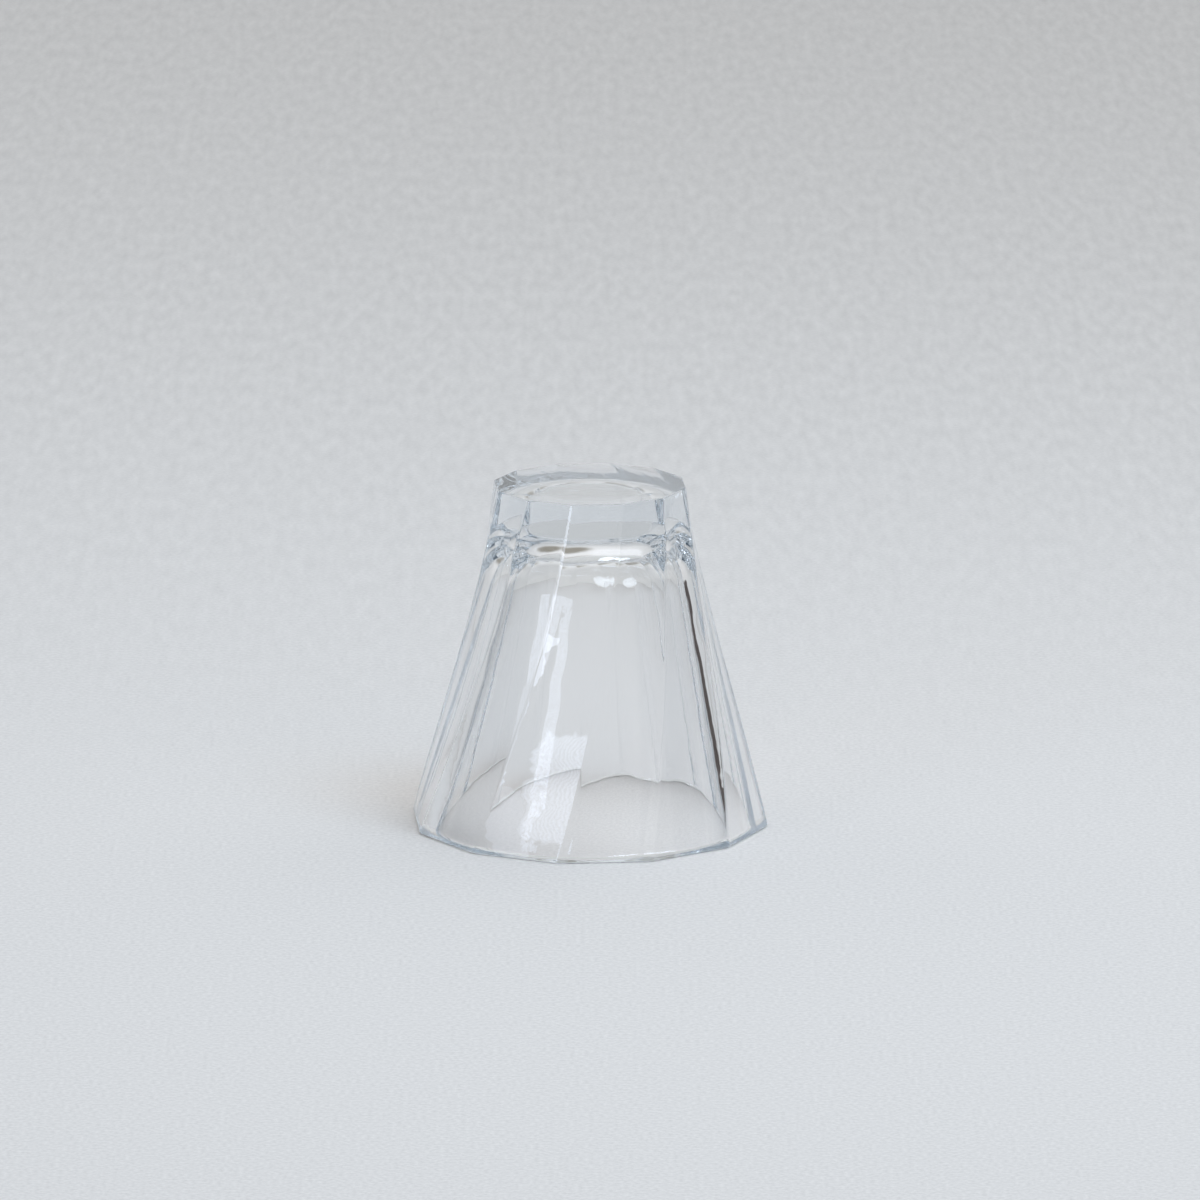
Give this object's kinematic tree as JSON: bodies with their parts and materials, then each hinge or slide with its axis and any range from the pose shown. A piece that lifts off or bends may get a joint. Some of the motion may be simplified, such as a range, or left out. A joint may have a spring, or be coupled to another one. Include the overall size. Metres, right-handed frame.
{
  "type": "cappuccino glass",
  "caption": "Empty clear pressed-glass tumbler with a wide faceted rim, swept ridges, heavy base and narrow foot, stored upside down on its rim, for hot milky coffee.",
  "frame": {"origin": "centre of the rim's resting plane, on the glass's axis; the glass stands upside down as in the picture", "axes": "+Z from the rim up to the foot along the axis, +X through a corner of the rim"},
  "size_m": [0.0898, 0.0898, 0.086],
  "materials": {
    "clear_glass": "clear, fire-polished"
  },
  "bodies": {
    "root": {"glass_body": "clear_glass"}
  },
  "joints": []
}
